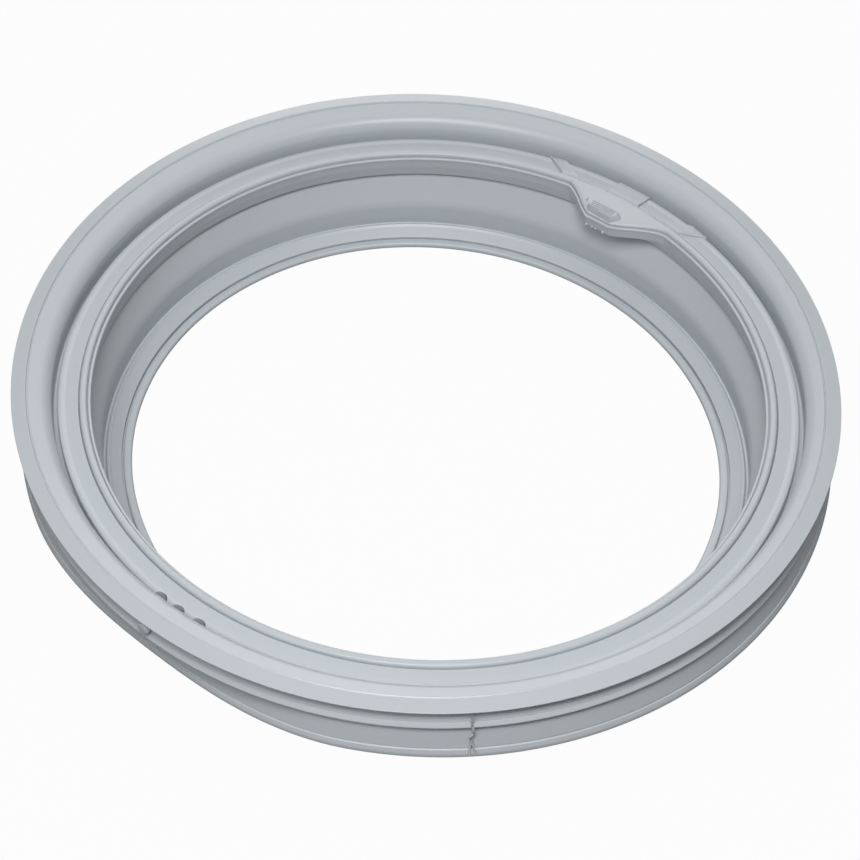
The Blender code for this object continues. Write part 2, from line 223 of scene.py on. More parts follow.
# Colours, in linear light
RUBBER = (0.545, 0.588, 0.618, 1.0)
RUBBER_DEEP = (0.470, 0.512, 0.540, 1.0)
RUBBER_PALE = (0.640, 0.680, 0.705, 1.0)
FLOOR_WHITE = (0.32, 0.32, 0.32, 1.0)
FLOOR_GLOW = 0.97

# Finish of the rubber
ROUGHNESS_LOW = 0.31
ROUGHNESS_HIGH = 0.43

# Lamps: name, place, size and power, all aimed at the ring's middle
AIM = (0.0, 0.0, 0.02)
LAMPS = (
    ("overhead_back", (0.0, 0.8, 1.6), (1.0, 1.0), 3.5),
    ("front_high", (0.0, -0.9, 1.65), (0.6, 0.5), 18.0),
    ("front_left", (-0.55, -1.1, 1.5), (0.5, 0.5), 8.5),
    ("back", (0.0, 1.7, 1.0), (0.9, 0.9), 6.0),
    ("back_low", (0.0, 1.9, 0.5), (1.2, 0.6), 5.0),
    ("right_low", (1.6, -0.9, 0.7), (0.6, 0.6), 1.0),
)
SOFT_LIGHT = 0.10

# Camera
CAMERA_PLACE = (0.00235, -1.0299, 1.1646)
CAMERA_TILT = math.radians(42.0)
FOCAL_LENGTH = 138.98


# Sections

def rounded(corners):
    """Turn (radius, height, fillet) corners into a closed outline with arcs at its fillets."""
    outline = []
    count = len(corners)
    for index, (radius, height, fillet) in enumerate(corners):
        corner = Vector((radius, height))
        if not fillet:
            outline.append((radius, height))
            continue
        before = Vector(corners[index - 1][:2]) - corner
        after = Vector(corners[(index + 1) % count][:2]) - corner
        opening = before.angle(after)
        cut = fillet / math.tan(opening / 2)
        cut = min(cut, 0.49 * before.length, 0.49 * after.length)
        start = corner + before.normalized() * cut
        end = corner + after.normalized() * cut
        middle = (before.normalized() + after.normalized()).normalized()
        centre = corner + middle * (cut / math.cos(opening / 2))
        arm = (start - centre).length
        first = math.atan2(start.y - centre.y, start.x - centre.x)
        last = math.atan2(end.y - centre.y, end.x - centre.x)
        sweep = (last - first + math.pi) % (2 * math.pi) - math.pi
        steps = max(2, math.ceil(abs(sweep) * arm / ARC_PITCH), math.ceil(abs(sweep) / ARC_STEP))
        for step in range(steps + 1):
            angle = first + sweep * step / steps
            outline.append((centre.x + arm * math.cos(angle), centre.y + arm * math.sin(angle)))
    return outline


def divided(outline):
    """Add points along the long runs of a closed outline, and one close to each of their ends."""
    result = []
    count = len(outline)
    for index in range(count):
        here = Vector(outline[index])
        there = Vector(outline[(index + 1) % count])
        run = (there - here).length
        result.append(tuple(here))
        if run < 4 * HOLD:
            continue
        stops = [HOLD / run]
        pieces = max(1, round((run - 2 * HOLD) / RUN_PITCH))
        stops += [(HOLD + (run - 2 * HOLD) * step / pieces) / run for step in range(1, pieces)]
        stops.append(1 - HOLD / run)
        result += [tuple(here.lerp(there, stop)) for stop in stops]
    return result


UNDER_FLANGE = DEPTH - BAND_FALL - FLANGE_WALL
MIDDLE_TOP = UNDER_FLANGE - PANEL_GROOVE_GAP
MIDDLE_BOTTOM = MIDDLE_TOP - MIDDLE_HEIGHT
SKIRT_TOP = MIDDLE_BOTTOM - SLIT_GAP
SKIRT_BOTTOM = SKIRT_TOP - SKIRT_HEIGHT
ROOF = DEPTH - CHANNEL_DEPTH - WALL
CHANNEL_FLOOR = DEPTH - CHANNEL_DEPTH
CHANNEL_OUTER = CHANNEL_RADIUS + CHANNEL_GAP / 2
CHANNEL_INNER = CHANNEL_RADIUS - CHANNEL_GAP / 2
LIP_TOP = DEPTH - LIP_DROP
LIP_FOOT = LIP_TOP - LIP_FACE
FACE_FOOT = LIP_RADIUS + LIP_LEAN
BEAD_FRONT = LIP_RADIUS + BEAD_INSET
BEAD_BACK = BEAD_FRONT + LIP_BEAD
RIM_TOP = LIP_TOP - RIM_DROP
FACE_TOP = RIM_TOP - 1.1 * MM
BAND_TOP = LIP_TOP - LIP_BAND_DROP
SHOULDER = LIP_TOP - SHOULDER_DROP


def flange_corners():
    """Front flange, panel groove, middle flange, slit and skirt, down the outside and back up."""
    groove_floor = RIM_RADIUS - PANEL_GROOVE_DEPTH
    middle = RIM_RADIUS - MIDDLE_INSET
    slit_floor = middle - SLIT_DEPTH
    face = RIM_RADIUS - SKIRT_INSET
    bead = face + SKIRT_BEAD_PROUD
    bead_top = SKIRT_BOTTOM + SKIRT_BEAD_HEIGHT
    step = RIM_RADIUS - BAND_WIDTH
    return [
        (step, DEPTH, 0.3 * MM),
        (RIM_RADIUS - 0.05 * MM, DEPTH - BAND_FALL - 0.5 * MM, 0.25 * MM),
        (RIM_RADIUS - 0.05 * MM, DEPTH - BAND_FALL - 0.5 * MM - RIM_FACE, 0.15 * MM),
        (RIM_RADIUS - RIM_TAPER, UNDER_FLANGE, 0.8 * MM),
        (groove_floor, UNDER_FLANGE, 0.0),
        (groove_floor, MIDDLE_TOP, 0.0),
        (middle - MIDDLE_CHAMFER - 1.2 * MM, MIDDLE_TOP, 1.2 * MM),
        (middle - 1.9 * MM, MIDDLE_TOP - 2.8 * MM, 3.0 * MM),
        (middle - 0.3 * MM, MIDDLE_BOTTOM + 3.4 * MM, 0.0),
        (middle - 0.5 * MM, MIDDLE_BOTTOM + 3.1 * MM, 0.0),
        (middle - 0.15 * MM, MIDDLE_BOTTOM + 2.8 * MM, 0.0),
        (middle + 1.0 * MM, MIDDLE_BOTTOM + 1.3 * MM, 0.4 * MM),
        (middle + 1.05 * MM, MIDDLE_BOTTOM + 0.7 * MM, 0.15 * MM),
        (slit_floor, MIDDLE_BOTTOM + 0.6 * MM, 0.0),
        (slit_floor, SKIRT_TOP, 0.0),
        (face - SKIRT_LEAN, SKIRT_TOP, SKIRT_ROUND),
        (face, bead_top + 0.7 * MM, 0.0),
        (face - 0.5 * MM, bead_top + 0.1 * MM, 0.0),
        (face + 0.4 * MM, bead_top - 0.3 * MM, 0.0),
        (bead, bead_top - 2.4 * MM, 2.0 * MM),
        (bead, SKIRT_BOTTOM, 1.5 * MM),
        (face - WALL, SKIRT_BOTTOM, 0.5 * MM),
        (face - WALL, ROOF, 0.0),
        (FACE_FOOT + UNDERCUT + WALL - 1.0 * MM, ROOF, 0.0),
        (FACE_FOOT + UNDERCUT + WALL - 1.0 * MM, ROOF + 1.0 * MM, 0.0),
        (CHANNEL_INNER - 1.0 * MM, CHANNEL_FLOOR, 0.0),
        (CHANNEL_OUTER, CHANNEL_FLOOR, 0.6 * MM),
        (CHANNEL_OUTER, DEPTH - CHANNEL_ROLL_DROP, CHANNEL_ROLL),
        (step - 1.2 * MM, DEPTH - 0.45 * MM, 0.3 * MM),
        (step - 0.4 * MM, DEPTH - STEP_GROOVE, 0.0),
    ]


def lip_corners():
    """Door lip: underside, inner face, low rim, bead, top band, shoulder, channel's inner side."""
    return [
        (FACE_FOOT + UNDERCUT + 0.6 * MM, LIP_FOOT + 2.4 * MM, 0.0),
        (FACE_FOOT + 1.3 * MM, LIP_FOOT + 0.9 * MM, 0.3 * MM),
        (FACE_FOOT + 0.1 * MM, LIP_FOOT - 0.1 * MM, 0.4 * MM),
        (LIP_RADIUS + 0.95 * MM, FACE_TOP - TONGUE_FACE, 0.0),
        (LIP_RADIUS + 0.5 * MM, FACE_TOP - 0.3 * MM, 0.0),
        (LIP_RADIUS, FACE_TOP, 0.0),
        (LIP_RADIUS, RIM_TOP, 0.5 * MM),
        (LIP_RADIUS + LIP_EDGE, RIM_TOP, 0.3 * MM),
        (LIP_RADIUS + LIP_EDGE + 0.2 * MM, RIM_TOP - 0.9 * MM, 0.0),
        (BEAD_FRONT, RIM_TOP - 0.6 * MM, 0.0),
        (BEAD_FRONT, LIP_TOP, 1.45 * MM),
        (BEAD_BACK, LIP_TOP, 1.3 * MM),
        (BEAD_BACK + 0.25 * MM, BAND_TOP - 1.5 * MM, 0.0),
        (BEAD_BACK + 0.85 * MM, BAND_TOP - 0.05 * MM, 0.15 * MM),
        (CHANNEL_INNER - 3.6 * MM, SHOULDER + 0.15 * MM, 1.0 * MM),
        (CHANNEL_INNER - 1.9 * MM, SHOULDER + 0.4 * MM, 0.8 * MM),
        (CHANNEL_INNER, SHOULDER, 2.2 * MM),
        (CHANNEL_INNER, CHANNEL_FLOOR - 1.0 * MM, 0.0),
        (FACE_FOOT + UNDERCUT + WALL, ROOF + 1.2 * MM, 0.0),
        (FACE_FOOT + UNDERCUT + 1.5 * MM, LIP_FOOT + 1.5 * MM, 0.0),
    ]


def wall_corners():
    """Inner wall from under the lip down to its fold, and the collar round the opening."""
    crest = FOLD_RADIUS - COLLAR_TROUGH
    valley = COLLAR_RISE - COLLAR_VALLEY
    fold = FOLD_RADIUS + WALL
    under_lip = FACE_FOOT + UNDERCUT
    return [
        (under_lip + WALL, ROOF + 0.8 * MM, 0.0),
        (under_lip + WALL, ROOF, 0.0),
        (fold, DEPTH - FOLD_DROP, 3.0 * MM),
        (fold, 0.0, 1.5 * MM),
        (HOLE_RADIUS, 0.0, 1.3 * MM),
        (HOLE_RADIUS, HOLE_BEAD_HEIGHT, 1.2 * MM),
        (HOLE_RADIUS + HOLE_BEAD_WIDTH, HOLE_BEAD_HEIGHT, 1.0 * MM),
        (HOLE_RADIUS + HOLE_BEAD_WIDTH, HOLE_GROOVE_FOOT, 0.0),
        (HOLE_RADIUS + HOLE_BEAD_WIDTH + HOLE_GROOVE, HOLE_GROOVE_FOOT, 0.0),
        (HOLE_RADIUS + HOLE_BEAD_WIDTH + HOLE_GROOVE, HOLE_BEAD_HEIGHT - 0.1 * MM, 0.3 * MM),
        (crest - 0.8 * MM, COLLAR_RISE - 0.8 * MM, 0.5 * MM),
        (crest, COLLAR_RISE, 0.3 * MM),
        (crest + 1.0 * MM, COLLAR_RISE - 0.2 * MM, 0.3 * MM),
        (crest + 1.9 * MM, valley, 0.4 * MM),
        (FOLD_RADIUS, valley, 0.4 * MM),
        (FOLD_RADIUS - 0.4 * MM, DEPTH - FOLD_DROP, 12.0 * MM),
        (under_lip, LIP_FOOT - 0.6 * MM, 1.0 * MM),
        (under_lip + 0.4 * MM, LIP_FOOT + 3.0 * MM, 0.0),
    ]


# Node trees

def new_tree(name, kind, inputs, outputs):
    """A node group with named sockets: (name, socket type, default) each."""
    tree = bpy.data.node_groups.new(name, kind)
    for direction, sockets in (("INPUT", inputs), ("OUTPUT", outputs)):
        for socket_name, socket_type, default in sockets:
            socket = tree.interface.new_socket(socket_name, in_out=direction, socket_type=socket_type)
            if default is not None:
                socket.default_value = default
    return tree, tree.nodes.new("NodeGroupInput"), tree.nodes.new("NodeGroupOutput")


def add(tree, kind, links=None, **settings):
    """Add a node, set its properties, and link or set its inputs by index or name."""
    node = tree.nodes.new(kind)
    for key, value in settings.items():
        setattr(node, key, value)
    for key, source in (links or {}).items():
        socket = node.inputs[key]
        if isinstance(source, bpy.types.NodeSocket):
            tree.links.new(source, socket)
        else:
            socket.default_value = source
    return node


def maths(tree, operation, *values):
    return add(tree, "ShaderNodeMath", dict(enumerate(values)), operation=operation).outputs[0]


def whole(tree, operation, *values):
    return add(tree, "FunctionNodeIntegerMath", dict(enumerate(values)), operation=operation).outputs[0]


def turning_tree():
    """Turns a closed section round Z, with a copy of it at each station's angle."""
    tree, given, result = new_tree(
        "turn_section",
        "GeometryNodeTree",
        [
            ("Geometry", "NodeSocketGeometry", None),
            ("Section", "NodeSocketObject", None),
            ("Stations", "NodeSocketObject", None),
            ("Merge Distance", "NodeSocketFloat", 0.000001),
            ("Material", "NodeSocketMaterial", None),
        ],
        [("Geometry", "NodeSocketGeometry", None)],
    )
    section = add(tree, "GeometryNodeObjectInfo", {"Object": given.outputs["Section"]}).outputs["Geometry"]
    stations = add(tree, "GeometryNodeObjectInfo", {"Object": given.outputs["Stations"]}).outputs["Geometry"]
    points = add(tree, "GeometryNodeAttributeDomainSize", {"Geometry": section}).outputs["Point Count"]
    turns = add(tree, "GeometryNodeAttributeDomainSize", {"Geometry": stations}).outputs["Point Count"]
    rows = whole(tree, "ADD", points, 1)
    columns = whole(tree, "ADD", turns, 1)
    grid = add(tree, "GeometryNodeMeshGrid", {"Vertices X": rows, "Vertices Y": columns}).outputs["Mesh"]
    index = add(tree, "GeometryNodeInputIndex").outputs[0]
    row = whole(tree, "MODULO", whole(tree, "DIVIDE_FLOOR", index, columns), points)
    column = whole(tree, "MODULO", whole(tree, "MODULO", index, columns), turns)
    place_now = add(tree, "GeometryNodeInputPosition").outputs[0]
    corner = add(
        tree, "GeometryNodeSampleIndex",
        {"Geometry": section, "Value": place_now, "Index": row},
        data_type="FLOAT_VECTOR", domain="POINT",
    ).outputs["Value"]
    station = add(
        tree, "GeometryNodeSampleIndex",
        {"Geometry": stations, "Value": place_now, "Index": column},
        data_type="FLOAT_VECTOR", domain="POINT",
    ).outputs["Value"]
    angle = add(tree, "ShaderNodeSeparateXYZ", {0: station}).outputs["X"]
    turned = add(
        tree, "ShaderNodeVectorRotate",
        {"Vector": corner, "Angle": angle},
        rotation_type="Z_AXIS",
    ).outputs["Vector"]
    placed = add(tree, "GeometryNodeSetPosition", {"Geometry": grid, "Position": turned}).outputs["Geometry"]
    merged = add(
        tree, "GeometryNodeMergeByDistance",
        {"Geometry": placed, "Distance": given.outputs["Merge Distance"]},
    ).outputs["Geometry"]
    smooth = add(tree, "GeometryNodeSetShadeSmooth", {"Geometry": merged}).outputs["Geometry"]
    real = add(tree, "GeometryNodeRealizeInstances", {"Geometry": smooth}).outputs["Geometry"]
    painted = add(
        tree, "GeometryNodeSetMaterial",
        {"Geometry": real, "Material": given.outputs["Material"]},
    ).outputs["Geometry"]
    tree.links.new(painted, result.inputs[0])
    return tree


def oval_tree():
    """Presses a round ring into the oval that the soft ring lies in, more so at its foot."""
    tree, given, result = new_tree(
        "relax_to_oval",
        "GeometryNodeTree",
        [
            ("Geometry", "NodeSocketGeometry", None),
            ("Long Axis", "NodeSocketFloat", OVAL_ANGLE),
            ("Oval at Top", "NodeSocketFloat", OVAL_TOP),
            ("Oval at Foot", "NodeSocketFloat", OVAL_BOTTOM),
            ("Depth", "NodeSocketFloat", DEPTH),
            ("Material", "NodeSocketMaterial", None),
        ],
        [("Geometry", "NodeSocketGeometry", None)],
    )
    back = maths(tree, "MULTIPLY", given.outputs["Long Axis"], -1.0)
    place_now = add(tree, "GeometryNodeInputPosition").outputs[0]
    lined_up = add(
        tree, "ShaderNodeVectorRotate", {"Vector": place_now, "Angle": back}, rotation_type="Z_AXIS"
    ).outputs["Vector"]
    parts = add(tree, "ShaderNodeSeparateXYZ", {0: lined_up})
    rise = maths(tree, "DIVIDE", parts.outputs["Z"], given.outputs["Depth"])
    difference = maths(tree, "SUBTRACT", given.outputs["Oval at Top"], given.outputs["Oval at Foot"])
    oval = maths(tree, "MULTIPLY_ADD", rise, difference, given.outputs["Oval at Foot"])
    along = maths(tree, "MULTIPLY", parts.outputs["X"], maths(tree, "ADD", 1.0, oval))
    across = maths(tree, "MULTIPLY", parts.outputs["Y"], maths(tree, "SUBTRACT", 1.0, oval))
    joined = add(tree, "ShaderNodeCombineXYZ", {"X": along, "Y": across, "Z": parts.outputs["Z"]}).outputs[0]
    turned = add(
        tree, "ShaderNodeVectorRotate",
        {"Vector": joined, "Angle": given.outputs["Long Axis"]},
        rotation_type="Z_AXIS",
    ).outputs["Vector"]
    placed = add(
        tree, "GeometryNodeSetPosition",
        {"Geometry": given.outputs["Geometry"], "Position": turned},
    ).outputs["Geometry"]
    real = add(tree, "GeometryNodeRealizeInstances", {"Geometry": placed}).outputs["Geometry"]
    painted = add(
        tree, "GeometryNodeSetMaterial",
        {"Geometry": real, "Material": given.outputs["Material"]},
    ).outputs["Geometry"]
    tree.links.new(painted, result.inputs[0])
    return tree


def row_tree():
    """Copies one small form in a straight row, along Y."""
    tree, given, result = new_tree(
        "row_of_forms",
        "GeometryNodeTree",
        [
            ("Geometry", "NodeSocketGeometry", None),
            ("Form", "NodeSocketObject", None),
            ("Count", "NodeSocketInt", 5),
            ("Pitch", "NodeSocketFloat", 0.001),
            ("Material", "NodeSocketMaterial", None),
        ],
        [("Geometry", "NodeSocketGeometry", None)],
    )
    form = add(tree, "GeometryNodeObjectInfo", {"Object": given.outputs["Form"]}).outputs["Geometry"]
    gaps = maths(tree, "SUBTRACT", given.outputs["Count"], 1.0)
    start = maths(tree, "MULTIPLY", maths(tree, "MULTIPLY", gaps, given.outputs["Pitch"]), -0.5)
    first = add(tree, "ShaderNodeCombineXYZ", {"Y": start}).outputs[0]
    step = add(tree, "ShaderNodeCombineXYZ", {"Y": given.outputs["Pitch"]}).outputs[0]
    line = add(
        tree, "GeometryNodeMeshLine",
        {"Count": given.outputs["Count"], "Start Location": first, "Offset": step},
    ).outputs["Mesh"]
    copies = add(
        tree, "GeometryNodeInstanceOnPoints", {"Points": line, "Instance": form}
    ).outputs["Instances"]
    real = add(tree, "GeometryNodeRealizeInstances", {"Geometry": copies}).outputs["Geometry"]
    painted = add(
        tree, "GeometryNodeSetMaterial",
        {"Geometry": real, "Material": given.outputs["Material"]},
    ).outputs["Geometry"]
    tree.links.new(painted, result.inputs[0])
    return tree


def run_tree(name, tree, values, base=None):
    """The plain mesh that a geometry tree makes, with its inputs set by their identifiers."""
    mesh = base if base is not None else bpy.data.meshes.new(f"{name}_start")
    holder = bpy.data.objects.new(f"{name}_maker", mesh)
    bpy.context.scene.collection.objects.link(holder)
    modifier = holder.modifiers.new("make", "NODES")
    modifier.node_group = tree
    for socket in tree.interface.items_tree:
        if socket.item_type == "SOCKET" and socket.in_out == "INPUT" and socket.name in values:
            modifier[socket.identifier] = values[socket.name]
    graph = bpy.context.evaluated_depsgraph_get()
    graph.update()
    made = bpy.data.meshes.new_from_object(holder.evaluated_get(graph))
    bpy.data.objects.remove(holder, do_unlink=True)
    made.name = name
    return made


def points_object(name, points):
    mesh = bpy.data.meshes.new(name)
    mesh.from_pydata(points, [], [])
    guide = bpy.data.objects.new(name, mesh)
    bpy.context.scene.collection.objects.link(guide)
    return guide


def turn_section(name, corners, angles, tree, material):
    section = points_object(f"{name}_section", [(r, 0.0, z) for r, z in divided(rounded(corners))])
    stations = points_object(f"{name}_stations", [(angle, 0.0, 0.0) for angle in angles])
    mesh = run_tree(name, tree, {"Section": section, "Stations": stations, "Material": material})
    for guide in (section, stations):
        bpy.data.objects.remove(guide, do_unlink=True)
    return mesh


def join_meshes(name, meshes):
    form = bmesh.new()
    for mesh in meshes:
        form.from_mesh(mesh)
    joined = bpy.data.meshes.new(name)
    form.to_mesh(joined)
    form.free()
    return joined


def mesh_of(name, form, place_form=None):
    """Turn a bmesh into a mesh, moved by a matrix."""
    if place_form is not None:
        form.transform(place_form)
    mesh = bpy.data.meshes.new(name)
    form.to_mesh(mesh)
    form.free()
    return mesh


def on_ring(radius, turn, height):
    """A frame on the round ring: X along the ring, clockwise, Y outwards and Z up."""
    spot = Vector((radius * math.cos(turn), radius * math.sin(turn), height))
    return Matrix.Translation(spot) @ Matrix.Rotation(turn - math.pi / 2, 4, "Z")


def slab(name, top, sink):
    """A closed slab under a grid of top points, sink deep."""
    rows, columns = top.shape[:2]
    bottom = top - np.array((0.0, 0.0, sink))
    points = np.concatenate((top.reshape(-1, 3), bottom.reshape(-1, 3)))
    count = rows * columns
    faces = []
    for row in range(rows - 1):
        for column in range(columns - 1):
            a = row * columns + column
            b, c, d = a + 1, a + columns + 1, a + columns
            faces += [(a, d, c, b), (a + count, b + count, c + count, d + count)]
    border = [(0, column) for column in range(columns)]
    border += [(row, columns - 1) for row in range(1, rows)]
    border += [(rows - 1, column) for column in range(columns - 2, -1, -1)]
    border += [(row, 0) for row in range(rows - 2, 0, -1)]
    loop = [row * columns + column for row, column in border]
    for a, b in zip(loop, loop[1:] + loop[:1]):
        faces.append((a, b, b + count, a + count))
    mesh = bpy.data.meshes.new(name)
    mesh.from_pydata(points.tolist(), [], faces)
    form = bmesh.new()
    form.from_mesh(mesh)
    bmesh.ops.recalc_face_normals(form, faces=form.faces)
    form.to_mesh(mesh)
    form.free()
    return mesh


def tube(name, path, radii, sides=10):
    """A closed tube through (x, y, z) points, with its own radius at each."""
    form = bmesh.new()
    rings = []
    points = [Vector(point) for point in path]
    for index, point in enumerate(points):
        ahead = points[min(index + 1, len(points) - 1)] - points[max(index - 1, 0)]
        turn = ahead.to_track_quat("Z", "Y")
        ring = []
        for side in range(sides):
            angle = 2 * math.pi * side / sides
            offset = Vector((math.cos(angle), math.sin(angle), 0.0)) * radii[index]
            ring.append(form.verts.new(point + turn @ offset))
        rings.append(ring)
    for low, high in zip(rings, rings[1:]):
        for side in range(sides):
            form.faces.new((low[side], low[(side + 1) % sides], high[(side + 1) % sides], high[side]))
    form.faces.new(list(reversed(rings[0])))
    form.faces.new(rings[-1])
    bmesh.ops.recalc_face_normals(form, faces=form.faces)
    return mesh_of(name, form)


def cut_away(mesh, cutter):
    """The mesh with the cutter's closed forms taken out of it."""
    scene = bpy.context.scene.collection
    body = bpy.data.objects.new("cut_body", mesh)
    tool = bpy.data.objects.new("cut_tool", cutter)
    scene.objects.link(body)
    scene.objects.link(tool)
    boolean = body.modifiers.new("cut", "BOOLEAN")
    boolean.operation = "DIFFERENCE"
    boolean.solver = "MANIFOLD"
    boolean.object = tool
    graph = bpy.context.evaluated_depsgraph_get()
    made = bpy.data.meshes.new_from_object(body.evaluated_get(graph))
    bpy.data.objects.remove(body, do_unlink=True)
    bpy.data.objects.remove(tool, do_unlink=True)
    return made


# Shaping on the round ring

def smooth(value):
    value = np.clip(value, 0.0, 1.0)
    return value * value * (3 - 2 * value)


def turn_between(angle, centre):
    return (angle - centre + math.pi) % (2 * math.pi) - math.pi


def read_points(mesh):
    flat = np.empty(len(mesh.vertices) * 3)
    mesh.vertices.foreach_get("co", flat)
    points = flat.reshape(-1, 3)
    return np.hypot(points[:, 0], points[:, 1]), np.arctan2(points[:, 1], points[:, 0]), points[:, 2]


def write_points(mesh, radius, angle, height):
    points = np.stack((radius * np.cos(angle), radius * np.sin(angle), height), axis=1)
    mesh.vertices.foreach_set("co", points.ravel())
    mesh.update()


def press_skirt(radius, height, angle):
    """The skirt's flat stretch: in by up to PRESS_DEPTH, and a little down at its top."""
    away = np.abs(turn_between(angle, PRESS_ANGLE)) / PRESS_HALF
    face = RIM_RADIUS - SKIRT_INSET
    inner = face - SKIRT_ROUND - SLIT_DEPTH
    share = smooth((radius - inner) / (face - SKIRT_ROUND - inner))
    depth = PRESS_DEPTH * smooth(1.0 - away) * share
    depth = np.where(height > SKIRT_TOP + SLIT_GAP / 2, 0.0, depth)
    above_foot = (height - SKIRT_BOTTOM) / SKIRT_HEIGHT
    return radius - depth, height - PRESS_DROOP * depth * smooth(above_foot)


def tongue_rise(angle):
    """How far the tongue is out, from 0 beside it to 1 along its straight tip."""
    away = turn_between(angle, TONGUE_ANGLE)
    left = (TONGUE_LEFT_FOOT - away) / (TONGUE_LEFT_FOOT - TONGUE_LEFT_TIP)
    right = (TONGUE_RIGHT_FOOT + away) / (TONGUE_RIGHT_FOOT - TONGUE_RIGHT_TIP)
    ramp = np.clip(np.minimum(left, right), 0.0, 1.0)
    return 0.55 * ramp + 0.45 * smooth(ramp)


def reach_tongue(radius, height, angle):
    """The lip's edge and face come in as the tongue, over a sloping underside."""
    rise = tongue_rise(angle)
    over_bead = np.clip((BEAD_BACK - radius) / (BEAD_BACK - BEAD_FRONT), 0.0, 1.0)
    down_face = np.clip((FACE_TOP - height) / (FACE_TOP - LIP_FOOT), 0.0, 1.0)
    face_share = TONGUE_FACE / (FACE_TOP - LIP_FOOT)
    under = np.clip((1.0 - down_face) / (1.0 - face_share), 0.0, 1.0)
    on_top = height > FACE_TOP - 0.1 * MM
    share = np.where(on_top, over_bead, under)
    share = np.where(radius > BEAD_BACK, 0.0, share)
    share = np.where(height < LIP_FOOT - 0.3 * MM, 0.0, share)
    fall = TONGUE_FALL * rise * np.where(on_top, over_bead, 1.0) * (share > 0)
    return radius - TONGUE_REACH * rise * share, height - fall


def settle(mesh):
    """Move what lies inside the front flange a little, as the soft lip has sagged."""
    radius, angle, height = read_points(mesh)
    step = RIM_RADIUS - BAND_WIDTH
    inside = smooth((step - radius) / (step - CHANNEL_OUTER - 1.0 * MM))
    above = smooth((height - SETTLE_FOOT) / SETTLE_RISE)
    share = inside * above
    x = radius * np.cos(angle) + share * (SETTLE_SHIFT[0] + SETTLE_STRETCH[0] * np.cos(angle))
    y = radius * np.sin(angle) + share * (SETTLE_SHIFT[1] + SETTLE_STRETCH[1] * np.sin(angle))
    write_points(mesh, np.hypot(x, y), np.arctan2(y, x), height)


# Materials

def mottle_group():
    """Faint clouds and specks in the moulded colour."""
    tree, given, result = new_tree(
        "rubber_mottle",
        "ShaderNodeTree",
        [
            ("Base", "NodeSocketColor", RUBBER),
            ("Deep", "NodeSocketColor", RUBBER_DEEP),
            ("Pale", "NodeSocketColor", RUBBER_PALE),
            ("Cloud Scale", "NodeSocketFloat", 9.0),
            ("Cloud Amount", "NodeSocketFloat", 0.35),
            ("Speck Scale", "NodeSocketFloat", 900.0),
            ("Speck Amount", "NodeSocketFloat", 0.12),
        ],
        [("Color", "NodeSocketColor", None), ("Cloud", "NodeSocketFloat", None)],
    )
    place_now = add(tree, "ShaderNodeTexCoord").outputs["Object"]
    cloud = add(
        tree, "ShaderNodeTexNoise",
        {"Vector": place_now, "Scale": given.outputs["Cloud Scale"], "Detail": 4.0},
    ).outputs["Fac"]
    speck = add(
        tree, "ShaderNodeTexNoise",
        {"Vector": place_now, "Scale": given.outputs["Speck Scale"], "Detail": 2.0},
    ).outputs["Fac"]
    cloud_mask = maths(tree, "MULTIPLY", cloud, given.outputs["Cloud Amount"])
    speck_mask = maths(tree, "MULTIPLY", speck, given.outputs["Speck Amount"])
    darker = add(tree, "ShaderNodeMix", data_type="RGBA")
    tree.links.new(cloud_mask, darker.inputs["Factor"])
    tree.links.new(given.outputs["Base"], darker.inputs[6])
    tree.links.new(given.outputs["Deep"], darker.inputs[7])
    paler = add(tree, "ShaderNodeMix", data_type="RGBA")
    tree.links.new(speck_mask, paler.inputs["Factor"])
    tree.links.new(darker.outputs[2], paler.inputs[6])
    tree.links.new(given.outputs["Pale"], paler.inputs[7])
    tree.links.new(paler.outputs[2], result.inputs["Color"])
    tree.links.new(cloud, result.inputs["Cloud"])
    return tree


def grain_group():
    """Height of the moulded skin: fine lines that run round the ring, and a finer grain."""
    tree, given, result = new_tree(
        "moulded_skin",
        "ShaderNodeTree",
        [
            ("Line Scale", "NodeSocketFloat", 700.0),
            ("Line Depth", "NodeSocketFloat", 0.5),
            ("Grain Scale", "NodeSocketFloat", 1600.0),
            ("Grain Depth", "NodeSocketFloat", 0.3),
        ],
        [("Height", "NodeSocketFloat", None)],
    )
    place_now = add(tree, "ShaderNodeTexCoord").outputs["Object"]
    parts = add(tree, "ShaderNodeSeparateXYZ", {0: place_now})
    squares = maths(
        tree, "ADD",
        maths(tree, "POWER", parts.outputs["X"], 2.0),
        maths(tree, "POWER", parts.outputs["Y"], 2.0),
    )
    radius = maths(tree, "SQRT", squares)
    stretched = add(
        tree, "ShaderNodeCombineXYZ",
        {"X": radius, "Y": maths(tree, "MULTIPLY", parts.outputs["X"], 0.02), "Z": parts.outputs["Z"]},
    ).outputs[0]
    lines = add(
        tree, "ShaderNodeTexNoise",
        {"Vector": stretched, "Scale": given.outputs["Line Scale"], "Detail": 2.0},
    ).outputs["Fac"]
    grain = add(
        tree, "ShaderNodeTexNoise",
        {"Vector": place_now, "Scale": given.outputs["Grain Scale"], "Detail": 2.0},
    ).outputs["Fac"]
    height = maths(
        tree, "ADD",
        maths(tree, "MULTIPLY", lines, given.outputs["Line Depth"]),
        maths(tree, "MULTIPLY", grain, given.outputs["Grain Depth"]),
    )
    tree.links.new(height, result.inputs["Height"])
    return tree


